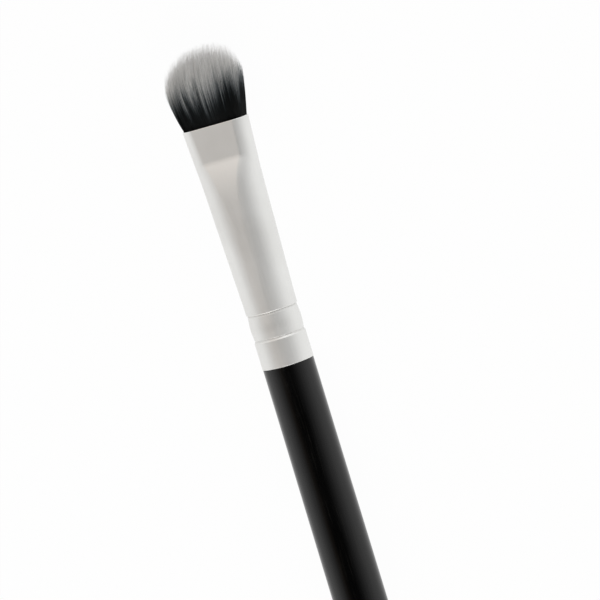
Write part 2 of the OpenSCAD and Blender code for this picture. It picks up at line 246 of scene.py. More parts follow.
def makeHandleTree(finish):
    tree, size, add = newTree("turned handle", handle)
    grid = add("GeometryNodeMeshGrid", {"Vertices X": size["rings"], "Vertices Y": size["ringPoints"]})
    split = add("ShaderNodeSeparateXYZ", {"Vector": add("GeometryNodeInputPosition")})
    share = add("ShaderNodeMath", [split.outputs["X"], 0.5], operation="ADD")
    done = {
        band: add("ShaderNodeMapRange", {"Value": share, "From Min": first, "From Max": last})
        for band, (first, last) in handleBands.items()
    }
    # quarter turns of the dome and the shoulder
    sine, cosine = {}, {}
    for band in ("dome", "shoulder"):
        turn = add("ShaderNodeMath", [done[band], math.pi / 2], operation="MULTIPLY")
        sine[band] = add("ShaderNodeMath", [turn], operation="SINE")
        cosine[band] = add("ShaderNodeMath", [turn], operation="COSINE")
    # slow start and end of the taper and the swell
    ease = {}
    for band in ("taper", "swell"):
        half = add("ShaderNodeMath", [done[band], math.pi], operation="MULTIPLY")
        wave = add("ShaderNodeMath", [half], operation="COSINE")
        ease[band] = add("ShaderNodeMath", [wave, -0.5, 0.5], operation="MULTIPLY_ADD")
    # lengths of the stretches, and how the radius changes over them
    for name, whole, less in (
        ("tail", "tailLength", "domeLength"), ("front", "length", "tailLength"),
        ("taper", "front", "bellyAt"), ("swell", "bellyAt", "shoulderRadius"),
        ("tenon", "tenonLength", "noseLength"),
        ("toBelly", "bellyRadius", "tailRadius"), ("toNeck", "neckRadius", "bellyRadius"),
        ("foot", "neckRadius", "shoulderRadius"), ("toTenon", "tenonRadius", "foot"),
        ("toNose", "noseRadius", "tenonRadius"),
    ):
        size[name] = add("ShaderNodeMath", [size[whole], size[less]], operation="SUBTRACT")
    size["toNothing"] = add("ShaderNodeMath", [size["noseRadius"], -1], operation="MULTIPLY")

    # place along the axis, from the joint
    fall = add("ShaderNodeMath", [1, cosine["dome"]], operation="SUBTRACT")
    along = add("ShaderNodeMath", [size["length"], -1], operation="MULTIPLY")
    for stretch, part in (
        ("domeLength", fall), ("tail", done["tail"]), ("taper", done["taper"]), ("swell", done["swell"]),
        ("shoulderRadius", sine["shoulder"]), ("tenon", done["tenon"]), ("noseLength", done["nose"]),
    ):
        along = add("ShaderNodeMath", [size[stretch], part, along], operation="MULTIPLY_ADD")

    # radius there
    corner = add("ShaderNodeMath", [cosine["shoulder"], 1], operation="SUBTRACT")
    radius = add("ShaderNodeMath", [size["tailRadius"], sine["dome"]], operation="MULTIPLY")
    for change, part in (
        ("toBelly", ease["taper"]), ("toNeck", ease["swell"]), ("shoulderRadius", corner),
        ("toTenon", done["face"]), ("toNose", done["nose"]), ("toNothing", done["end"]),
    ):
        radius = add("ShaderNodeMath", [size[change], part, radius], operation="MULTIPLY_ADD")
    # the tenon has the ferrule's rolled grooves
    grooveStart = add("ShaderNodeMath", [size["grooveHalf"], -1], operation="MULTIPLY")
    for groove in ("firstGroove", "secondGroove"):
        off = add("ShaderNodeMath", [along, size[groove]], operation="SUBTRACT")
        sinking = add(
            "ShaderNodeMapRange",
            {"Value": off, "From Min": grooveStart, "From Max": size["grooveSkew"],
             "To Max": size["grooveDepth"]},
        )
        rising = add(
            "ShaderNodeMapRange",
            {"Value": off, "From Min": size["grooveSkew"], "From Max": size["grooveHalf"],
             "To Min": size["grooveDepth"], "To Max": 0},
        )
        cut = add("ShaderNodeMath", [sinking, rising], operation="MINIMUM")
        radius = add("ShaderNodeMath", [radius, cut], operation="SUBTRACT")
    # and the bead between them, whose ends lie a little lower than its middle
    grooveSum = add("ShaderNodeMath", [size["firstGroove"], size["secondGroove"]], operation="ADD")
    beadMiddle = add("ShaderNodeMath", [grooveSum, 0.5], operation="MULTIPLY")
    halfGap = add("ShaderNodeMath", [size["secondGroove"], beadMiddle], operation="SUBTRACT")
    beadHalf = add("ShaderNodeMath", [halfGap, size["grooveHalf"]], operation="SUBTRACT")
    off = add("ShaderNodeMath", [along, beadMiddle], operation="SUBTRACT")
    away = add("ShaderNodeMath", [off], operation="ABSOLUTE")
    onBead = add("ShaderNodeMath", [away, beadHalf], operation="LESS_THAN")
    part = add("ShaderNodeMath", [away, beadHalf], operation="DIVIDE")
    bent = add("ShaderNodeMath", [part, math.pi / 2], operation="MULTIPLY")
    crown = add("ShaderNodeMath", [bent], operation="COSINE")
    lowered = add("ShaderNodeMath", [1, crown], operation="SUBTRACT")
    beadDrop = add("ShaderNodeMath", [lowered, size["beadFall"]], operation="MULTIPLY")
    drop = add("ShaderNodeMath", [beadDrop, onBead], operation="MULTIPLY")
    radius = add("ShaderNodeMath", [radius, drop], operation="SUBTRACT")

    angle = add("ShaderNodeMath", [split.outputs["Y"], 2 * math.pi], operation="MULTIPLY")
    acrossShare = add("ShaderNodeMath", [angle], operation="SINE")
    upShare = add("ShaderNodeMath", [angle], operation="COSINE")
    across = add("ShaderNodeMath", [radius, acrossShare], operation="MULTIPLY")
    up = add("ShaderNodeMath", [radius, upShare], operation="MULTIPLY")
    turned = add("ShaderNodeCombineXYZ", [along, across, up])
    inPlace = add("ShaderNodeVectorMath", [turned, joint], operation="ADD")
    placed = add("GeometryNodeSetPosition", {"Geometry": grid.outputs["Mesh"], "Position": inPlace})
    closed = add("GeometryNodeMergeByDistance", {"Geometry": placed, "Distance": 0.0005 * mm})
    smooth = add("GeometryNodeSetShadeSmooth", {"Geometry": closed})
    real = add("GeometryNodeRealizeInstances", {"Geometry": smooth})
    finished = add("GeometryNodeSetMaterial", {"Geometry": real, "Material": finish})
    add("NodeGroupOutput", {"Geometry": finished})
    return tree


handlePiece = buildPiece("handle_turned", makeHandleTree(makeLacquer()), handle)
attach(handlePiece, "root")
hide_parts("handle")
print("handle:", len(handlePiece.data.polygons), "faces")


# Ferrule finish: drawn aluminium, blasted and clear anodised
satin = {
    "base": "#ECECEA",
    "shaded": "#D9D8D5",  # painted shade in the grooves, and a darker tone in broad faint clouds
    "grooveShade": 0.5,
    "cloudShade": 0.35,
    "polished": "#EFEFED",  # the mouth's rim
    "roughness": 0.54,
    "lineRoughness": 0.025,  # more or less along the drawn lines
    "rimPolish": 0.16,  # less at the rim
    "grit": 0.16 * mm,
    "gritFelt": 0.1,
    "drawWidth": 0.3 * mm,
    "drawLength": 9 * mm,
    "drawFelt": 0.05,
    "relief": 0.02 * mm,  # depth of the grit and of the lines
    "clouds": 7 * mm,
    "cloudsFrom": 0.4,  # values of their noise between which they grow
    "cloudsTo": 0.75,
}


# Pale satin metal: a soft wide highlight, a fine even grit, and faint lines along the draw
def makeSatin():
    material, add = newMaterial("satin anodised aluminium")
    place = add("ShaderNodeTexCoord").outputs["Object"]
    split = add("ShaderNodeSeparateXYZ", {"Vector": place})
    grit = add(
        "ShaderNodeTexNoise", {"Vector": place, "Scale": 1 / satin["grit"], "Detail": 2, "Roughness": 0.7}
    )
    along = add(
        "ShaderNodeMapping", {"Vector": place, "Scale": (satin["drawWidth"] / satin["drawLength"], 1, 1)}
    )
    draw = add("ShaderNodeTexNoise", {"Vector": along, "Scale": 1 / satin["drawWidth"], "Detail": 2})
    clouds = add("ShaderNodeTexNoise", {"Vector": place, "Scale": 1 / satin["clouds"], "Detail": 3})
    shade = add(
        "ShaderNodeMapRange",
        {"Value": clouds, "From Min": satin["cloudsFrom"], "From Max": satin["cloudsTo"],
         "To Max": satin["cloudShade"]},
    )
    # painted shade: a little grey mixed into the two grooves
    for groove in grooves:
        off = add("ShaderNodeMath", [split.outputs["X"], lay["jointX"] + groove * mm], operation="SUBTRACT")
        away = add("ShaderNodeMath", [off], operation="ABSOLUTE")
        mark = add(
            "ShaderNodeMapRange",
            {"Value": away, "From Max": ferrule["grooveHalf"] * mm,
             "To Min": satin["grooveShade"], "To Max": 0},
        )
        shade = add("ShaderNodeMath", [shade, mark], operation="MAXIMUM")
    body = add(
        "ShaderNodeMix",
        {"Factor": shade, "A": toLinear(satin["base"]), "B": toLinear(satin["shaded"])},
        data_type="RGBA",
    )
    rim = add(
        "ShaderNodeMapRange",
        {"Value": split.outputs["X"], "From Min": lay["mouthX"] - 2 * ferrule["rimRound"] * mm,
         "From Max": lay["mouthX"] - ferrule["rimRound"] * mm},
    )
    colour = add(
        "ShaderNodeMix", {"Factor": rim, "A": body, "B": toLinear(satin["polished"])}, data_type="RGBA"
    )
    lined = add(
        "ShaderNodeMapRange",
        {"Value": draw, "From Min": noiseLow, "From Max": noiseHigh,
         "To Min": satin["roughness"] - satin["lineRoughness"],
         "To Max": satin["roughness"] + satin["lineRoughness"]},
    )
    rough = add("ShaderNodeMath", [rim, -satin["rimPolish"], lined], operation="MULTIPLY_ADD")
    lines = add(
        "ShaderNodeBump", {"Height": draw, "Strength": satin["drawFelt"], "Distance": satin["relief"]}
    )
    blasted = add(
        "ShaderNodeBump",
        {"Height": grit, "Strength": satin["gritFelt"], "Distance": satin["relief"], "Normal": lines},
    )
    shader = add(
        "ShaderNodeBsdfPrincipled",
        {"Base Color": colour, "Metallic": 1, "Roughness": rough, "Normal": blasted},
    )
    add("ShaderNodeOutputMaterial", {"Surface": shader})
    return material


# Ferrule, a tube in mm: round with two rolled grooves at the handle, flattened and pressed at the mouth
ferrule = {
    "length": 34,
    "barrelRadius": 3.6,
    "barrelLength": 9,
    "wall": 0.25,
    "flareRadius": 3.65,  # of the round sides, just before they are pressed together
    "flareAt": 22,
    "flarePower": 0.7,
    "foldRadius": 2.47,  # of the round sides behind the pressed flats, and at the mouth
    "mouthRadius": 2.3,
    "pinchPower": 3,
    "flareGap": 0.39,  # half the distance between the middles of the two round sides
    "foldGap": 1.94,
    "mouthGap": 2.4,
    "pressLength": 5,
    "pressCut": 0.08,  # depth of the pressed flats below the round sides
    "dipLength": 10.5,  # how far behind the fold the flats start to sink, and over what length they do
    "dipGrow": 7.5,
    "dipPower": 1.5,
    **rolled,
    "beadRound": 0.5,  # share of the bead that is rounded at its crown
    "rimRound": 0.08,
    "jointRound": 0.05,
    "edgeSoftness": 0.04,  # of the pressed flats' edges, and of the fold
    "foldSoftness": 0.2,
    "columns": 192,  # points round it
}
foldAt = ferrule["length"] - ferrule["pressLength"]


def mix(low, high, share):
    return low + (high - low) * share


def softMin(a, b, reach):
    overlap = numpy.maximum(reach - numpy.abs(a - b), 0) / reach if reach > 0 else 0
    return numpy.minimum(a, b) - overlap**2 * reach / 4


# How far the grooves and the bead between them lie below the barrel's surface
def barrelFall(z):
    beadHalf = (grooves[1] - grooves[0]) / 2 - ferrule["grooveHalf"]
    fromMiddle = abs(z - sum(grooves) / 2) / beadHalf
    if fromMiddle < 1:
        crown = ferrule["beadRound"]
        slope = ferrule["beadFall"] / (1 - crown / 2)
        return slope * (fromMiddle**2 / (2 * crown) if fromMiddle < crown else fromMiddle - crown / 2)
    off = min((z - groove - ferrule["grooveSkew"] for groove in grooves), key=abs)
    wall = ferrule["grooveHalf"] - math.copysign(ferrule["grooveSkew"], off)
    edge = ferrule["beadFall"] if grooves[0] < z < grooves[1] else 0
    return mix(ferrule["grooveDepth"], edge, min(1, abs(off) / wall))


# Radius of the two round sides, half the distance between their middles, and depth of the flats below them
def sidesAt(z):
    barrel, flare = ferrule["barrelLength"], ferrule["flareAt"]
    grown = min(1, max(0, z - barrel) / (flare - barrel))
    wide = mix(ferrule["barrelRadius"], ferrule["flareRadius"], grown ** ferrule["flarePower"])
    apart = ferrule["flareGap"] * max(0, z - barrel) / (flare - barrel)
    pinch = (max(0, z - flare) / (foldAt - flare)) ** ferrule["pinchPower"]
    pressed = (z - foldAt) / ferrule["pressLength"]
    foldRise = ferrule["foldGap"] - ferrule["flareGap"] * (foldAt - barrel) / (flare - barrel)
    radius = -softMin(
        (wide - ferrule["foldRadius"]) * pinch - wide,
        -mix(ferrule["foldRadius"], ferrule["mouthRadius"], max(0, pressed)), ferrule["foldSoftness"],
    )
    gap = softMin(
        apart + foldRise * pinch, mix(ferrule["foldGap"], ferrule["mouthGap"], pressed),
        ferrule["foldSoftness"],
    )
    started = max(0, z - foldAt + ferrule["dipLength"]) / ferrule["dipGrow"]
    return radius, gap, ferrule["pressCut"] * min(1, started) ** ferrule["dipPower"]


def tubeRing(z, inset, angles):
    if z <= ferrule["barrelLength"]:
        radius = ferrule["barrelRadius"] - barrelFall(z) - inset
        return radius * numpy.cos(angles), radius * numpy.sin(angles)
    radius, gap, cut = sidesAt(z)
    across = (radius + gap - inset) * numpy.cos(angles)
    beyond = numpy.maximum(numpy.abs(across) - gap, 0)
    up = numpy.sqrt(numpy.maximum((radius - inset) ** 2 - beyond**2, 0))
    softness = ferrule["edgeSoftness"] * cut / ferrule["pressCut"]
    return across, numpy.sign(numpy.sin(angles)) * softMin(up, radius - cut - inset, softness)


# Heights and insets of a rounded edge from one face of the wall to the other
def wallEdge(end, inward, radius):
    turns = numpy.linspace(0, math.pi / 2, 4)
    outside = [(end + inward * radius * (1 - math.sin(t)), radius * (1 - math.cos(t))) for t in turns]
    inside = [(z, ferrule["wall"] - inset) for z, inset in reversed(outside)]
    return outside + inside


def makeFerrule(name, finish):
    near, clear = 1.5 * ferrule["grooveHalf"], 2 * ferrule["grooveHalf"]
    # start, end and count of each stretch of rings, which are close together at the grooves and at the fold
    heights = numpy.unique(numpy.concatenate([
        numpy.linspace(first, last, count) for first, last, count in (
            (0.2, grooves[0] - near, 9),
            (grooves[0] - near, grooves[0] + near, 17),
            (grooves[0] + clear, grooves[1] - clear, 17),
            (grooves[1] - near, grooves[1] + near, 17),
            (grooves[1] + clear, ferrule["barrelLength"], 6),
            (ferrule["barrelLength"] + 0.2, foldAt - 1.1, 52),
            (foldAt - 1, foldAt + 0.6, 25),
            (foldAt + 0.8, ferrule["length"] - 0.2, 14),
        )
    ]))
    rings = [(z, 0) for z in heights]
    rings += wallEdge(ferrule["length"], -1, ferrule["rimRound"])
    rings += [(z, ferrule["wall"]) for z in heights[::-2]]
    rings += wallEdge(0, 1, ferrule["jointRound"])[::-1]
    angles = numpy.linspace(0, 2 * math.pi, ferrule["columns"], endpoint=False)
    points = []
    for z, inset in rings:
        across, up = tubeRing(z, inset, angles)
        points += [(lay["jointX"] + z * mm, a * mm, lay["axisZ"] + u * mm) for a, u in zip(across, up)]
    count, columns = len(rings), ferrule["columns"]
    faces = [
        (k * columns + i, k * columns + (i + 1) % columns,
         (k + 1) % count * columns + (i + 1) % columns, (k + 1) % count * columns + i)
        for k in range(count) for i in range(columns)
    ]
    mesh = bpy.data.meshes.new(name)
    mesh.from_pydata(points, [], faces)
    mesh.polygons.foreach_set("use_smooth", [True] * len(faces))
    mesh.materials.append(finish)
    piece = bpy.data.objects.new(name, mesh)
    bpy.context.scene.collection.objects.link(piece)
    faceOut(mesh)
    return piece


def faceOut(mesh):
    shape = bmesh.new()
    shape.from_mesh(mesh)
    bmesh.ops.recalc_face_normals(shape, faces=shape.faces)
    shape.to_mesh(mesh)
    shape.free()


ferrulePiece = makeFerrule("ferrule_tube", makeSatin())
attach(ferrulePiece, "root")
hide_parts("ferrule")
print("ferrule:", len(ferrulePiece.data.polygons), "faces")


# Fibre finish: tapered synthetic fibres, dyed black from the root and left off-white at the tip
fibre = {
    "dyeStops": [
        (0.0, "#050707"), (0.2, "#0C1012"), (0.35, "#2C3336"), (0.5, "#70767A"), (0.66, "#BCBFBF"),
        (0.82, "#EEEEEB"), (1.0, "#FDFDFB"),
    ],
    "darkest": 0.84,  # value of the darkest fibre, where the lightest has 1
    "roughness": 0.5,
    "specular": 0.25,  # of the dyed root
    "tipSpecular": 1.0,
    "bloom": 0.9,  # pale dust-like sheen of the undyed tips
    "bloomRoughness": 0.6,
    "bloomFrom": 0.4,  # how far the dye has faded where the bloom starts, and where it is whole
    "bloomTo": 0.9,
    "mottle": 0.35 * mm,
    "mottleLift": 0.08,  # how much it fades the dye
    "mottleFelt": 0.1,
    "mottleDepth": 0.01 * mm,
}


# Soft matt hair: black root fading through grey to a dusty white tip, each fibre a little lighter or darker
def makeFibre():
    material, add = newMaterial("tapered synthetic fibre")
    dye = add("ShaderNodeAttribute", attribute_name="dye").outputs["Fac"]
    shade = add("ShaderNodeAttribute", attribute_name="shade").outputs["Fac"]
    place = add("ShaderNodeTexCoord").outputs["Object"]
    mottle = add("ShaderNodeTexNoise", {"Vector": place, "Scale": 1 / fibre["mottle"], "Detail": 2})
    lift = add("ShaderNodeMath", [mottle, fibre["mottleLift"], dye], operation="MULTIPLY_ADD")
    ramp = add("ShaderNodeValToRGB", {"Fac": lift})
    setRamp(ramp, fibre["dyeStops"])
    tone = add("ShaderNodeMapRange", {"Value": shade, "To Min": fibre["darkest"]})
    varied = add("ShaderNodeHueSaturation", {"Color": ramp.outputs["Color"], "Value": tone})
    bloom = add(
        "ShaderNodeMapRange",
        {"Value": lift, "From Min": fibre["bloomFrom"], "From Max": fibre["bloomTo"],
         "To Max": fibre["bloom"]},
    )
    gloss = add(
        "ShaderNodeMapRange",
        {"Value": lift, "From Min": fibre["bloomFrom"], "From Max": fibre["bloomTo"],
         "To Min": fibre["specular"], "To Max": fibre["tipSpecular"]},
    )
    grain = add(
        "ShaderNodeBump",
        {"Height": mottle, "Strength": fibre["mottleFelt"], "Distance": fibre["mottleDepth"]},
    )
    shader = add(
        "ShaderNodeBsdfPrincipled",
        {"Base Color": varied, "Roughness": fibre["roughness"], "Specular IOR Level": gloss,
         "Sheen Weight": bloom, "Sheen Roughness": fibre["bloomRoughness"], "Normal": grain},
    )
    add("ShaderNodeOutputMaterial", {"Surface": shader})
    return material


# Tuft: fibres that spread above the mouth and end in a leaning dome, on a bound root slice. Each value is an
# input of its tree.
tuft = {
    "fibres": 3900,  # in each of its two pieces
    "points": 10,  # along a fibre
    "sides": 3,
    "seed": 5,
    "dyeSeed": 26,
    "shadeSeed": 23,
    "innerArea": 0.0,  # shares of the section, from its middle, at which a piece starts and ends
    "outerArea": 1.0,
    "fibreRadius": 0.042 * mm,
    "taperFrom": 0.3,  # share of a fibre's length at which it starts to taper
    "tipShare": 0.08,  # thickness left at its tip
    "rootDepth": 2.2 * mm,
    "length": 10.9 * mm,
    "widestAt": 6.1 * mm,
    "mouthHalfWidth": 4.38 * mm,
    "mouthHalfDepth": 1.9 * mm,
    "fullHalfWidth": 5.77 * mm,
    "fullHalfDepth": 3.25 * mm,
    "rootSquare": 3.0,  # squareness of its section at the root, and where it is widest: 2 is an ellipse
    "fullSquare": 2.0,
    "spreadPower": 0.78,  # below 1 it spreads most just above the mouth
    "domePower": 2.9,  # higher is flatter on top
    "drawIn": 0.12,  # share by which it narrows again up to its top
    "lean": 1.05 * mm,  # of its top, towards -Y
    "leanPower": 3.0,
    "tipFall": 3.4 * mm,  # most that a tip lies below the dome
    "fallPower": 0.8,
    "lockSize": 0.65 * mm,
    "lockPull": 0.22,
    "lockLeast": 0.3,  # pull of the loosest lock, where the tightest has 1
    "lockRoom": 0.96,  # how far out the middle of a lock may lie
    "waver": 0.2 * mm,
    "waves": 0.12 / mm,  # of a fibre's wavering
    "wavesApart": 3.7,  # between one fibre and the next
    "changeAt": 4.6 * mm,  # height at which the dye has faded by half, and length over which it fades
    "changeBand": 7.5 * mm,
    "lockShift": 2.2 * mm,  # how much that height varies from lock to lock, fibre to fibre, and side to side
    "fibreShift": 2.3 * mm,
    "sideShift": 0.6 * mm,
    "sliceDepth": 1.6 * mm,
    "sliceShare": 0.97,  # width of the bound slice, as a share of the root's
    "sliceSides": 64,
}
goldenAngle = math.pi * (3 - math.sqrt(5))  # between the places of one fibre and the next


def makeTuftTree(finish):
    tree, size, add = newTree("tuft fibres", tuft)
    # one straight spline for each fibre, numbered
    line = add("GeometryNodeCurvePrimitiveLine")
    stepped = add("GeometryNodeResampleCurve", {"Curve": line, "Count": size["points"]})
    copies = add(
        "GeometryNodeDuplicateElements", {"Geometry": stepped, "Amount": size["fibres"]}, domain="SPLINE"
    )
    number = copies.outputs["Duplicate Index"]
    share = add("GeometryNodeSplineParameter").outputs["Factor"]

    # its place on a disc of radius 1, in even rows of a sunflower
    order = add("ShaderNodeMath", [number, 0.5], operation="ADD")
    part = add("ShaderNodeMath", [order, size["fibres"]], operation="DIVIDE")
    area = add(
        "ShaderNodeMapRange", {"Value": part, "To Min": size["innerArea"], "To Max": size["outerArea"]}
    )
    reach = add("ShaderNodeMath", [area], operation="SQRT")
    turn = add("ShaderNodeMath", [number, goldenAngle], operation="MULTIPLY")
    places = []
    for wave in ("COSINE", "SINE"):
        side = add("ShaderNodeMath", [turn], operation=wave)
        places.append(add("ShaderNodeMath", [reach, side], operation="MULTIPLY"))
    place = add("ShaderNodeCombineXYZ", places)

    # height of its tip on the dome, and of each of its points
    edge = add("ShaderNodeMath", [reach, size["domePower"]], operation="POWER")
    under = add("ShaderNodeMath", [1, edge], operation="SUBTRACT")
    dome = add("ShaderNodeMath", [under], operation="SQRT")
    rise = add("ShaderNodeMath", [size["length"], size["widestAt"]], operation="SUBTRACT")
    crest = add("ShaderNodeMath", [dome, rise, size["widestAt"]], operation="MULTIPLY_ADD")
    fallChance = add("FunctionNodeRandomValue", {"ID": number, "Seed": size["seed"]}, data_type="FLOAT")
    fallShare = add("ShaderNodeMath", [fallChance, size["fallPower"]], operation="POWER")
    fall = add("ShaderNodeMath", [fallShare, size["tipFall"]], operation="MULTIPLY")
    tip = add("ShaderNodeMath", [crest, fall], operation="SUBTRACT")
    whole = add("ShaderNodeMath", [tip, size["rootDepth"]], operation="ADD")
    rooted = add("ShaderNodeMath", [size["rootDepth"], -1], operation="MULTIPLY")
    height = add("ShaderNodeMath", [whole, share, rooted], operation="MULTIPLY_ADD")

    # how wide and deep the tuft is there
    spreadShare = add("ShaderNodeMapRange", {"Value": height, "From Max": size["widestAt"]})
    spread = add("ShaderNodeMath", [spreadShare, size["spreadPower"]], operation="POWER")
    domeShare = add(
        "ShaderNodeMapRange", {"Value": height, "From Min": size["widestAt"], "From Max": size["length"]}
    )
    domeSquare = add("ShaderNodeMath", [domeShare, 2], operation="POWER")
    drawn = add("ShaderNodeMath", [domeSquare, size["drawIn"]], operation="MULTIPLY")
    kept = add("ShaderNodeMath", [1, drawn], operation="SUBTRACT")
    halves = {}
    for side in ("Width", "Depth"):
        half = add(
            "ShaderNodeMapRange",
            {"Value": spread, "To Min": size["mouthHalf" + side], "To Max": size["fullHalf" + side]},
        )
        halves[side] = add("ShaderNodeMath", [half, kept], operation="MULTIPLY")

    # the section is boxier at the root: places there lie further out towards its corners
    square = add(
        "ShaderNodeMapRange", {"Value": spread, "To Min": size["rootSquare"], "To Max": size["fullSquare"]}
    )
    powers = []
    for side in places:
        far = add("ShaderNodeMath", [side], operation="ABSOLUTE")
        powers.append(add("ShaderNodeMath", [far, square], operation="POWER"))
    powerSum = add("ShaderNodeMath", powers, operation="ADD")
    unpower = add("ShaderNodeMath", [1, square], operation="DIVIDE")
    boxReach = add("ShaderNodeMath", [powerSum, unpower], operation="POWER")
    outward = add("ShaderNodeMath", [reach, boxReach], operation="DIVIDE")
    for side in halves:
        halves[side] = add("ShaderNodeMath", [halves[side], outward], operation="MULTIPLY")

    # fibres of one lock draw together towards their tips
    fullSize = add("ShaderNodeCombineXYZ", {"X": size["fullHalfWidth"], "Y": size["fullHalfDepth"], "Z": 1})
    inSize = add("ShaderNodeVectorMath", [place, fullSize], operation="MULTIPLY")
    perLock = add("ShaderNodeMath", [1, size["lockSize"]], operation="DIVIDE")
    lock = add("ShaderNodeTexVoronoi", {"Vector": inSize, "Scale": perLock}, voronoi_dimensions="2D")
    lockMiddle = add("ShaderNodeVectorMath", [lock.outputs["Position"], fullSize], operation="DIVIDE")
    lockFlat = add("ShaderNodeVectorMath", [lockMiddle, (1, 1, 0)], operation="MULTIPLY")
    lockReach = add("ShaderNodeVectorMath", [lockFlat], operation="LENGTH").outputs["Value"]
    lockRoom = add("ShaderNodeMath", [size["lockRoom"], lockReach], operation="DIVIDE")
    lockScale = add("ShaderNodeMath", [lockRoom, 1], operation="MINIMUM")
    lockPlace = add("ShaderNodeVectorMath", {0: lockFlat, "Scale": lockScale}, operation="SCALE")
    lockColour = add("FunctionNodeSeparateColor", {"Color": lock.outputs["Color"]})
    pullShare = add(
        "ShaderNodeMapRange",
        {"Value": height, "From Max": size["length"], "To Max": size["lockPull"]},
        interpolation_type="SMOOTHSTEP",
    )
    lockForce = add(
        "ShaderNodeMapRange", {"Value": lockColour.outputs["Green"], "To Min": size["lockLeast"]}
    )
    pull = add("ShaderNodeMath", [pullShare, lockForce], operation="MULTIPLY")
    drawnPlace = add("ShaderNodeMix", {"Factor": pull, "A": place, "B": lockPlace}, data_type="VECTOR")
    drawnSplit = add("ShaderNodeSeparateXYZ", {"Vector": drawnPlace})

    # each fibre wavers a little on its way
    along = add("ShaderNodeMath", [height, size["waves"]], operation="MULTIPLY")
    own = add("ShaderNodeMath", [number, size["wavesApart"], along], operation="MULTIPLY_ADD")
    wave = add("ShaderNodeTexNoise", {"W": own, "Scale": 1, "Detail": 0}, noise_dimensions="1D")
    centred = add("ShaderNodeVectorMath", [wave.outputs["Color"], (0.5, 0.5, 0.5)], operation="SUBTRACT")
    waverShare = add(
        "ShaderNodeMapRange", {"Value": height, "From Max": size["length"], "To Max": size["waver"]}
    )
    waver = add("ShaderNodeVectorMath", {0: centred, "Scale": waverShare}, operation="SCALE")

    # its points in the brush's frame
    leanShare = add("ShaderNodeMapRange", {"Value": height, "From Max": size["length"]})
    leanCurve = add("ShaderNodeMath", [leanShare, size["leanPower"]], operation="POWER")
    leaning = add("ShaderNodeMath", [leanCurve, size["lean"]], operation="MULTIPLY")
    across = add("ShaderNodeMath", [drawnSplit.outputs["X"], halves["Width"]], operation="MULTIPLY")
    shifted = add("ShaderNodeMath", [across, leaning], operation="SUBTRACT")
    up = add("ShaderNodeMath", [drawnSplit.outputs["Y"], halves["Depth"]], operation="MULTIPLY")
    point = add("ShaderNodeCombineXYZ", {"X": height, "Y": shifted, "Z": up})
    wavering = add("ShaderNodeVectorMath", [point, waver], operation="ADD")
    inPlace = add("ShaderNodeVectorMath", [wavering, (lay["mouthX"], 0, lay["axisZ"])], operation="ADD")
    paths = add("GeometryNodeSetPosition", {"Geometry": copies.outputs["Geometry"], "Position": inPlace})

    # how far the dye has faded at each point: 0 is black, 1 is bare fibre
    fibreChance = add(
        "FunctionNodeRandomValue",
        {"Min": -0.5, "Max": 0.5, "ID": number, "Seed": size["dyeSeed"]},
        data_type="FLOAT",
    )
    lockChance = add("ShaderNodeMath", [lockColour.outputs["Red"], 0.5], operation="SUBTRACT")
    fibreLate = add("ShaderNodeMath", [fibreChance, size["fibreShift"]], operation="MULTIPLY")
    late = add("ShaderNodeMath", [lockChance, size["lockShift"], fibreLate], operation="MULTIPLY_ADD")
    sideLate = add("ShaderNodeMath", [places[0], size["sideShift"]], operation="MULTIPLY")
    delay = add("ShaderNodeMath", [late, sideLate], operation="SUBTRACT")
    change = add("ShaderNodeMath", [size["changeAt"], delay], operation="ADD")
    above = add("ShaderNodeMath", [height, change], operation="SUBTRACT")
    faded = add("ShaderNodeMath", [above, size["changeBand"]], operation="DIVIDE")
    dye = add("ShaderNodeMath", [faded, 0.5], operation="ADD", use_clamp=True)
    dyed = add(
        "GeometryNodeStoreNamedAttribute", {"Geometry": paths, "Name": "dye", "Value": dye},
        data_type="FLOAT", domain="POINT",
    )
    shadeChance = add(
        "FunctionNodeRandomValue", {"ID": number, "Seed": size["shadeSeed"]}, data_type="FLOAT"
    )
    shaded = add(
        "GeometryNodeStoreNamedAttribute", {"Geometry": dyed, "Name": "shade", "Value": shadeChance},
        data_type="FLOAT", domain="POINT",
    )

    # three-sided strands, tapered at the tip
    profile = add(
        "GeometryNodeCurvePrimitiveCircle", {"Resolution": size["sides"], "Radius": size["fibreRadius"]}
    )
    taper = add(
        "ShaderNodeMapRange",
        {"Value": share, "From Min": size["taperFrom"], "To Min": 1, "To Max": size["tipShare"]},
    )
    strands = add(
        "GeometryNodeCurveToMesh",
        {"Curve": shaded, "Profile Curve": profile, "Scale": taper, "Fill Caps": True},
    )
    smooth = add("GeometryNodeSetShadeSmooth", {"Geometry": strands})

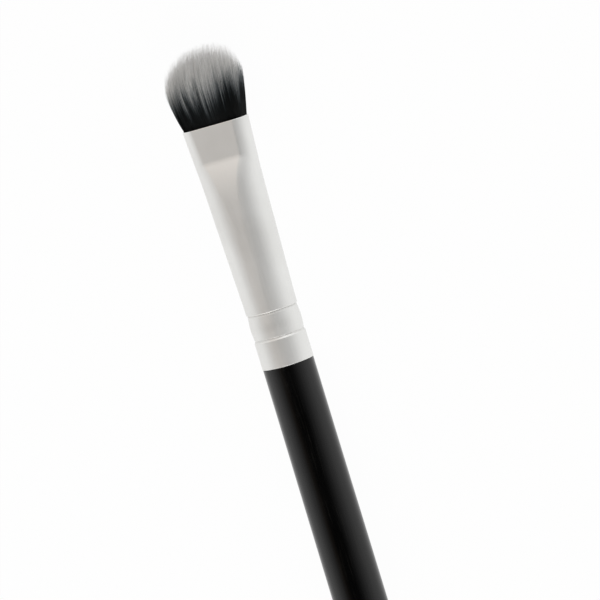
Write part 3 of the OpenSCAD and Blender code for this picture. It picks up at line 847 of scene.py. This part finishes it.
    # slice that binds the roots
    disc = add(
        "GeometryNodeMeshCylinder", {"Vertices": size["sliceSides"], "Depth": 1}, fill_type="TRIANGLE_FAN"
    )
    flatHalf = add(
        "ShaderNodeCombineXYZ",
        {"X": size["mouthHalfDepth"], "Y": size["mouthHalfWidth"], "Z": size["sliceDepth"]},
    )
    sliceShare = add("ShaderNodeCombineXYZ", {"X": size["sliceShare"], "Y": size["sliceShare"], "Z": 1})
    sliceSize = add("ShaderNodeVectorMath", [flatHalf, sliceShare], operation="MULTIPLY")
    sliceFoot = add("ShaderNodeMath", [lay["mouthX"], size["rootDepth"]], operation="SUBTRACT")
    sliceMiddle = add("ShaderNodeMath", [size["sliceDepth"], 0.5, sliceFoot], operation="MULTIPLY_ADD")
    slicePlace = add("ShaderNodeCombineXYZ", {"X": sliceMiddle, "Z": lay["axisZ"]})
    bound = add(
        "GeometryNodeTransform",
        {"Geometry": disc.outputs["Mesh"], "Translation": slicePlace, "Rotation": (0, math.pi / 2, 0),
         "Scale": sliceSize},
    )
    joined = add("GeometryNodeJoinGeometry", {"Geometry": smooth})
    tree.links.new(bound.outputs[0], joined.inputs[0])
    real = add("GeometryNodeRealizeInstances", {"Geometry": joined})
    finished = add("GeometryNodeSetMaterial", {"Geometry": real, "Material": finish})
    add("NodeGroupOutput", {"Geometry": finished})
    return tree


tuftTree = makeTuftTree(makeFibre())
tuftBands = {"tuft_core": (0.0, 0.5), "tuft_outer": (0.5, 1.0)}  # shares of the section, from its middle out
for name, (innerArea, outerArea) in tuftBands.items():
    tuftPiece = buildPiece(name, tuftTree, {**tuft, "innerArea": innerArea, "outerArea": outerArea})
    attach(tuftPiece, "root")
    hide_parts("tuft")
    print(name + ":", len(tuftPiece.data.polygons), "faces")


# Plug inside the ferrule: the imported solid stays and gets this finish
resin = {
    "base": "#B07A2C",
    "deep": "#8A5A1B",
    "roughness": 0.16,
    "ior": 1.54,
    "streaks": 1.4 * mm,
    "bubbles": 0.3 * mm,
    "bubbleFrom": 0.05,  # how far from its middle a bubble's wall rises and where it ends, in spacings
    "bubbleTo": 0.2,
    "bubbleFelt": 0.2,
    "bubbleDepth": 0.03 * mm,
}


# Cast amber resin: glossy and warm, with slow streaks and tiny bubbles under its skin
def makeResin():
    material, add = newMaterial("cast amber resin")
    place = add("ShaderNodeTexCoord").outputs["Object"]
    streaks = add(
        "ShaderNodeTexNoise", {"Vector": place, "Scale": 1 / resin["streaks"], "Detail": 3, "Distortion": 1.2}
    )
    colour = add(
        "ShaderNodeMix",
        {"Factor": streaks, "A": toLinear(resin["base"]), "B": toLinear(resin["deep"])},
        data_type="RGBA",
    )
    bubbles = add("ShaderNodeTexVoronoi", {"Vector": place, "Scale": 1 / resin["bubbles"]})
    pits = add(
        "ShaderNodeMapRange",
        {"Value": bubbles.outputs["Distance"],
         "From Min": resin["bubbleFrom"], "From Max": resin["bubbleTo"]},
    )
    dimples = add(
        "ShaderNodeBump", {"Height": pits, "Strength": resin["bubbleFelt"], "Distance": resin["bubbleDepth"]}
    )
    shader = add(
        "ShaderNodeBsdfPrincipled",
        {"Base Color": colour, "Roughness": resin["roughness"], "IOR": resin["ior"], "Normal": dimples},
    )
    add("ShaderNodeOutputMaterial", {"Surface": shader})
    return material


# Sleeve round the tenon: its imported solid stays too
adhesive = {
    "base": "#E6DAB6",
    "dull": "#CDBE93",
    "roughness": 0.5,
    "unevenness": 0.1,  # of its roughness
    "ripples": 0.8 * mm,
    "rippleFelt": 0.3,
    "rippleDepth": 0.04 * mm,
}


# Set wood adhesive: pale cream, dull, with shallow ripples where it was squeezed
def makeAdhesive():
    material, add = newMaterial("set wood adhesive")
    place = add("ShaderNodeTexCoord").outputs["Object"]
    ripples = add("ShaderNodeTexNoise", {"Vector": place, "Scale": 1 / adhesive["ripples"], "Detail": 4})
    colour = add(
        "ShaderNodeMix",
        {"Factor": ripples, "A": toLinear(adhesive["base"]), "B": toLinear(adhesive["dull"])},
        data_type="RGBA",
    )
    rough = add(
        "ShaderNodeMapRange",
        {"Value": ripples, "To Min": adhesive["roughness"] - adhesive["unevenness"],
         "To Max": adhesive["roughness"] + adhesive["unevenness"]},
    )
    skin = add(
        "ShaderNodeBump",
        {"Height": ripples, "Strength": adhesive["rippleFelt"], "Distance": adhesive["rippleDepth"]},
    )
    shader = add("ShaderNodeBsdfPrincipled", {"Base Color": colour, "Roughness": rough, "Normal": skin})
    add("ShaderNodeOutputMaterial", {"Surface": shader})
    return material


for nodeName, finish in (("root_plug", makeResin()), ("tenon_glue", makeAdhesive())):
    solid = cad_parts[nodeName]
    if not solid.data.materials:
        solid.data.materials.append(None)
    for holder in solid.material_slots:
        holder.link = "OBJECT"
        holder.material = finish
print("inner pieces finished")


# Studio: a pale table, soft daylight all round that is dimmer overhead, and three soft lamps
studio = {
    "tableSide": 6.0,  # metres
    "tableColour": "#F4F4F4",
    "tableGlow": 0.97,  # share of plain white that the camera sees in the table
    "roundStrength": 1.08,
    "coreStrength": 0.008,  # of the dark patch over the handle
    "endStrength": 0.8,  # of its paler ends beyond the tail and over the tuft
    "coreTilt": 8,  # degrees of the patch's middle off the zenith, towards -Y
    "rightFrom": 6,  # degrees round the brush from there to where it starts to brighten, and where it ends
    "rightTo": 104,
    "leftFrom": 17,
    "leftTo": 98,
    "coreAlong": -0.12,  # place of its middle along the brush, as a share of the way to the horizon
    "endFrom": 0.18,  # and how far from there it starts to end, and has ended
    "endTo": 0.48,
    "warmAt": 30,  # degrees round the brush, to the left, of the middle of the warm band, and half its width
    "warmHalf": 21,
    "warmColour": "#FFE6CF",
}


def makeTable():
    material, add = newMaterial("white paper sweep")
    rays = add("ShaderNodeLightPath")
    seen = add(
        "ShaderNodeMath", [rays.outputs["Is Camera Ray"], rays.outputs["Is Glossy Ray"]], operation="MAXIMUM"
    )
    seenOrThrough = add("ShaderNodeMath", [seen, rays.outputs["Is Transmission Ray"]], operation="MAXIMUM")
    glow = add("ShaderNodeMath", [seenOrThrough, studio["tableGlow"]], operation="MULTIPLY")
    paper = add("ShaderNodeBsdfDiffuse", {"Color": toLinear(studio["tableColour"])})
    white = add("ShaderNodeEmission", {"Color": toLinear(whiteHex)})
    surface = add("ShaderNodeMixShader", [glow, paper, white])
    add("ShaderNodeOutputMaterial", {"Surface": surface})
    half = studio["tableSide"] / 2
    mesh = bpy.data.meshes.new("table")
    corners = [(-half, -half, 0), (half, -half, 0), (half, half, 0), (-half, half, 0)]
    mesh.from_pydata(corners, [], [(0, 1, 2, 3)])
    mesh.materials.append(material)
    table = bpy.data.objects.new("table", mesh)
    bpy.context.scene.collection.objects.link(table)


# Daylight all round, dimmer overhead: dark over the handle, paler over the tuft, a little warm at its left
def makeDaylight():
    world = bpy.data.worlds.new("studio")
    world.use_nodes = True
    world.node_tree.nodes.clear()
    add = partial(addNode, world.node_tree)
    direction = add("ShaderNodeTexCoord").outputs["Generated"]
    facing = add("ShaderNodeVectorMath", [direction], operation="NORMALIZE")
    tilt = math.radians(studio["coreTilt"])
    axes = ((1, 0, 0), (0, math.cos(tilt), math.sin(tilt)), (0, -math.sin(tilt), math.cos(tilt)))
    along, aside, over = [
        add("ShaderNodeVectorMath", [facing, axis], operation="DOT_PRODUCT").outputs["Value"] for axis in axes
    ]
    # degrees round the brush's axis, from the middle of the dark patch
    turn = add("ShaderNodeMath", [aside, over], operation="ARCTAN2")
    around = add("ShaderNodeMath", [turn, 180 / math.pi], operation="MULTIPLY")

    # 1 up to the first value and 0 from the last
    def fade(value, first, last):
        sockets = {"Value": value, "From Min": first, "From Max": last, "To Min": 1, "To Max": 0}
        return add("ShaderNodeMapRange", sockets, interpolation_type="SMOOTHSTEP")

    toLeft = fade(around, studio["leftFrom"], studio["leftTo"])
    toRight = fade(around, -studio["rightFrom"], -studio["rightTo"])
    inPatch = add("ShaderNodeMath", [toLeft, toRight], operation="MULTIPLY")
    fromMiddle = add("ShaderNodeMath", [along, studio["coreAlong"]], operation="SUBTRACT")
    farAlong = add("ShaderNodeMath", [fromMiddle], operation="ABSOLUTE")
    beforeEnd = fade(farAlong, studio["endFrom"], studio["endTo"])
    patch = add(
        "ShaderNodeMapRange",
        {"Value": beforeEnd, "To Min": studio["endStrength"], "To Max": studio["coreStrength"]},
    )
    strength = add(
        "ShaderNodeMapRange", {"Value": inPatch, "To Min": studio["roundStrength"], "To Max": patch}
    )
    fromWarm = add("ShaderNodeMath", [around, studio["warmAt"]], operation="SUBTRACT")
    offWarm = add("ShaderNodeMath", [fromWarm], operation="ABSOLUTE")
    warmth = fade(offWarm, 0, studio["warmHalf"])
    colour = add(
        "ShaderNodeMix",
        {"Factor": warmth, "A": toLinear(whiteHex), "B": toLinear(studio["warmColour"])},
        data_type="RGBA",
    )
    sky = add("ShaderNodeBackground", {"Color": colour, "Strength": strength})
    add("ShaderNodeOutputWorld", {"Surface": sky})
    bpy.context.scene.world = world


# Square lamps aimed at the joint, in metres
lamps = {
    "over": {"place": (0.1, 0.06, 0.25), "side": 0.08, "watts": 0.02},
    "beyond": {"place": (0.45, -0.12, 0.07), "side": 0.15, "watts": 0.2},
    "behind": {"place": (-0.45, 0, 0.25), "side": 0.3, "watts": 1},
}


def makeLamp(name, settings):
    data = bpy.data.lights.new(name, "AREA")
    data.shape = "SQUARE"
    data.size = settings["side"]
    data.energy = settings["watts"]
    lamp = bpy.data.objects.new(name, data)
    spot = Vector(settings["place"])
    aim = (joint - spot).to_track_quat("-Z", "Y")
    lamp.matrix_world = Matrix.Translation(spot) @ aim.to_matrix().to_4x4()
    bpy.context.scene.collection.objects.link(lamp)


makeTable()
makeDaylight()
for lampName, lampSettings in lamps.items():
    makeLamp(lampName, lampSettings)
print("studio set")


# Camera above the brush, a little towards -Y and the tuft, with the axis leaning left in the picture
shot = {
    "toCamera": (0.094, -0.266, 0.959),
    "distance": 900 * mm,
    "axisLean": 16.9,  # degrees to the left of upright
    "jointPixel": (288.1, 362.75),  # where the joint lies in the picture, from its top left
    "pictureSide": 600,  # pixels
    "pixelsPerMm": 7.375,
    "sensor": 36,  # mm
    "nearest": 0.01,  # metres
    "farthest": 50,
}


def makeCamera():
    back = Vector(shot["toCamera"]).normalized()
    axis = Vector((1, 0, 0))
    alongAxis = (axis - back * axis.dot(back)).normalized()
    square = back.cross(alongAxis)
    lean = math.radians(shot["axisLean"])
    right = -math.sin(lean) * alongAxis - math.cos(lean) * square
    up = math.cos(lean) * alongAxis - math.sin(lean) * square
    pixel = mm / shot["pixelsPerMm"]
    middle = shot["pictureSide"] / 2
    jointRight = (shot["jointPixel"][0] - middle) * pixel
    jointUp = (middle - shot["jointPixel"][1]) * pixel
    eye = joint + back * shot["distance"] - right * jointRight - up * jointUp
    data = bpy.data.cameras.new("camera")
    data.sensor_width = shot["sensor"]
    data.lens = shot["sensor"] * shot["distance"] / (shot["pictureSide"] * pixel)
    data.clip_start, data.clip_end = shot["nearest"], shot["farthest"]
    camera = bpy.data.objects.new("camera", data)
    turn = Matrix((right, up, back)).transposed()
    camera.matrix_world = Matrix.Translation(eye) @ turn.to_4x4()
    bpy.context.scene.collection.objects.link(camera)
    bpy.context.scene.camera = camera


makeCamera()
bpy.context.scene.view_settings.view_transform = "Standard"
print("camera set")
